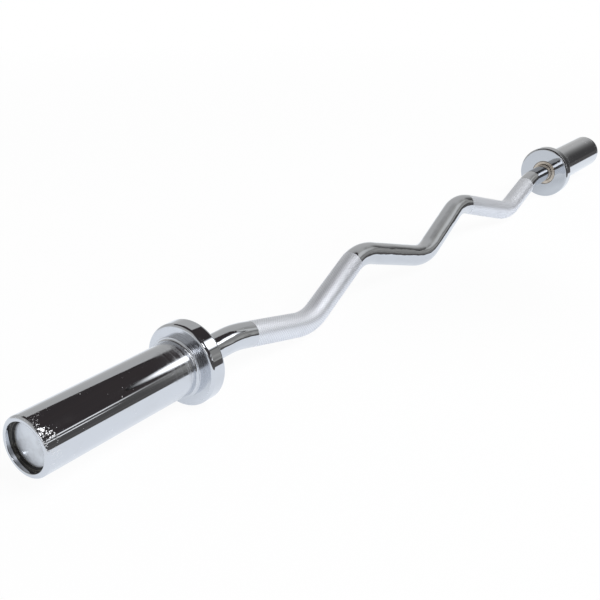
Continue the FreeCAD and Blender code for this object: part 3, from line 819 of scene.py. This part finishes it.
tree.nodes.clear()
sky = put(tree, "ShaderNodeTexCoord").outputs["Generated"]
way = split(tree, sky)
height = reckon(tree, "MULTIPLY", reckon(tree, "ARCSINE", way["Z"]), 180 / math.pi)
bearing = reckon(tree, "MULTIPLY", reckon(tree, "ARCTAN2", way["Y"], way["X"]), 180 / math.pi)


def band(value, start, end, soft):
    """A soft-edged band between two values."""
    low = soft_step(tree, value, start - soft, start + soft)
    high = soft_step(tree, value, end + soft, end - soft)
    return reckon(tree, "MULTIPLY", low, high)


backdrop = blend(tree, soft_step(tree, height, *BACKDROP_HEIGHTS), BACKDROP_LOW, BACKDROP_HIGH)
clutter = clouds(tree, sky, scale=5.0, detail=3.0, Roughness=0.55)
room = blend(tree, soft_step(tree, clutter, start=0.36, end=0.62), ROOM_DARK, ROOM_LIGHT)
around = blend(tree, soft_step(tree, bearing, *BACKDROP_BEARINGS), room, backdrop)
level = math.cos(math.radians(GLOW_HEIGHT))
glow_x = level * math.cos(math.radians(GLOW_BEARING))
glow_y = level * math.sin(math.radians(GLOW_BEARING))
glow_way = (glow_x, glow_y, math.sin(math.radians(GLOW_HEIGHT)))
glow = put(tree, "ShaderNodeVectorMath", {0: sky, 1: glow_way}, operation="DOT_PRODUCT").outputs["Value"]
glow = soft_step(tree, glow, math.cos(math.radians(GLOW_REACH)), math.cos(math.radians(GLOW_FULL)))
around = blend(tree, glow, around, ROOM_GLOW)
doorway = reckon(tree, "MULTIPLY_ADD", height, DOORWAY_SLANT, bearing)
doorway = soft_step(tree, doorway, *DOORWAY_EDGE)
doorway = reckon(tree, "MULTIPLY", doorway, soft_step(tree, bearing, *DOORWAY_BEARINGS))
doorway = reckon(tree, "MULTIPLY", doorway, soft_step(tree, height, *DOORWAY_TOP))
around = blend(tree, doorway, around, DOORWAY)
around = blend(tree, soft_step(tree, height, *CEILING_HEIGHTS), around, CEILING)
near_side = blend(tree, soft_step(tree, height, *NEAR_SIDE_HEIGHTS), NEAR_SIDE_LOW, NEAR_SIDE_HIGH)
low_tube = band(height, *LOW_TUBE_HEIGHTS, TUBE_SOFTNESS)
low_tube = reckon(tree, "MULTIPLY", low_tube, soft_step(tree, bearing, *LOW_TUBE_END))
high_tube = band(height, *HIGH_TUBE_HEIGHTS, TUBE_SOFTNESS)
high_tube = reckon(tree, "MULTIPLY", high_tube, soft_step(tree, bearing, *HIGH_TUBE_END))
tubes = reckon(tree, "ADD", low_tube, high_tube)
tubes = reckon(tree, "MULTIPLY", tubes, soft_step(tree, bearing, *TUBES_START))
near_side = blend(tree, tubes, near_side, TUBE_LAMP)
window = band(height, *WINDOW_HEIGHTS, WINDOW_SOFTNESS)
window = reckon(tree, "MULTIPLY", window, soft_step(tree, bearing, *WINDOW_BEARINGS))
near_side = blend(tree, window, near_side, WINDOW)
around = blend(tree, soft_step(tree, bearing, *NEAR_SIDE_BEARINGS), around, near_side)
air = put(tree, "ShaderNodeBackground", {"Color": around, "Strength": 1.0})
plain = put(tree, "ShaderNodeBackground", {"Color": PAPER_SEEN, "Strength": 1.0})
rays = put(tree, "ShaderNodeLightPath").outputs
both = put(tree, "ShaderNodeMixShader", {0: rays["Is Camera Ray"], 1: air.outputs[0], 2: plain.outputs[0]})
put(tree, "ShaderNodeOutputWorld", {"Surface": both.outputs[0]})

# Lamps
# A large soft box above the near side and a small one to the left light the bar. A round reflector close to
# it and a dark cloth overhead show only in the chrome, as a soft hot spot and a dark band.
CARD_PLACE = Vector((-0.01, -0.31, 0.335))
CARD_AIM = Vector((-0.42, 0, 0))
CARD_RADIUS = 0.13
CARD_SIDES = 48
CARD_STRENGTH = 5.0
CLOTH_HEIGHT = 1.0
CLOTH_CORNERS = [(0.125, 1.2), (-0.8, 1.2), (-0.8, -1.9), (1.48, -1.9)]
CLOTH = (0.036, 0.032, 0.034, 1)
CLOTH_FOLD = (0.054, 0.044, 0.043, 1)


def soft_lamp(name, place, width, power):
    """A square soft box that faces the middle of the bar."""
    lamp = bpy.data.lights.new(name, "AREA")
    lamp.shape = "SQUARE"
    lamp.size = width
    lamp.energy = power
    stand = bpy.data.objects.new(name, lamp)
    stand.location = place
    stand.rotation_euler = (-Vector(place)).to_track_quat("-Z", "Y").to_euler()
    bpy.context.scene.collection.objects.link(stand)


soft_lamp("key_lamp", place=(0.4, -3.4, 4.2), width=3.4, power=330)
soft_lamp("fill_lamp", place=(-3.6, -3.0, 3.8), width=1.0, power=24)

card = turned_solid("near_card", [[(0, 0), (0, CARD_RADIUS)]], CARD_SIDES)
card.rotation_euler = (CARD_AIM - CARD_PLACE).to_track_quat("X", "Z").to_euler()
card.location = CARD_PLACE
card.visible_camera = False
card_glow, tree = new_glow("near_card")
from_centre = put(tree, "ShaderNodeTexCoord").outputs["Object"]
from_centre = put(tree, "ShaderNodeVectorMath", {0: from_centre}, operation="LENGTH").outputs["Value"]
hot = put(
    tree, "ShaderNodeMapRange", {0: from_centre, 1: CARD_RADIUS, 2: 0.0, 3: 0.0, 4: CARD_STRENGTH},
    interpolation_type="SMOOTHSTEP")
light = put(tree, "ShaderNodeEmission", {"Strength": hot.outputs[0]})
put(tree, "ShaderNodeOutputMaterial", {"Surface": light.outputs[0]})
card.data.materials.append(card_glow)

roof = bpy.data.objects.new("roof_panel", bpy.data.meshes.new("roof_panel"))
roof.data.from_pydata([(x, y, CLOTH_HEIGHT) for x, y in CLOTH_CORNERS], [], [(0, 1, 2, 3)])
roof.visible_camera = False
roof.visible_diffuse = False
roof.visible_shadow = False
bpy.context.scene.collection.objects.link(roof)
roof_cloth, tree = new_glow("roof_cloth")
place = put(tree, "ShaderNodeTexCoord").outputs["Object"]
folds = clouds(tree, place, scale=2.5, detail=3.0)
dark = put(tree, "ShaderNodeEmission", {"Color": blend(tree, folds, CLOTH, CLOTH_FOLD), "Strength": 1.0})
put(tree, "ShaderNodeOutputMaterial", {"Surface": dark.outputs[0]})
roof_cloth.cycles.emission_sampling = "NONE"
roof.data.materials.append(roof_cloth)

# Camera
# It stands near the left end, a little above the bar, and looks along it towards the far sleeve.
# Its place and aim are those that bring the bar's outline to its place in the picture.
CAMERA_PLACE = (-0.9721, -0.4968, 0.3441)
CAMERA_AIM = (0.7673, 0.5281, -0.3637)
camera = bpy.data.cameras.new("camera")
camera.sensor_width = 36
camera.lens = 56.22
tripod = bpy.data.objects.new("camera", camera)
tripod.location = CAMERA_PLACE
tripod.rotation_euler = Vector(CAMERA_AIM).to_track_quat("-Z", "Y").to_euler()
bpy.context.scene.collection.objects.link(tripod)
bpy.context.scene.camera = tripod
bpy.context.scene.view_settings.view_transform = "Standard"
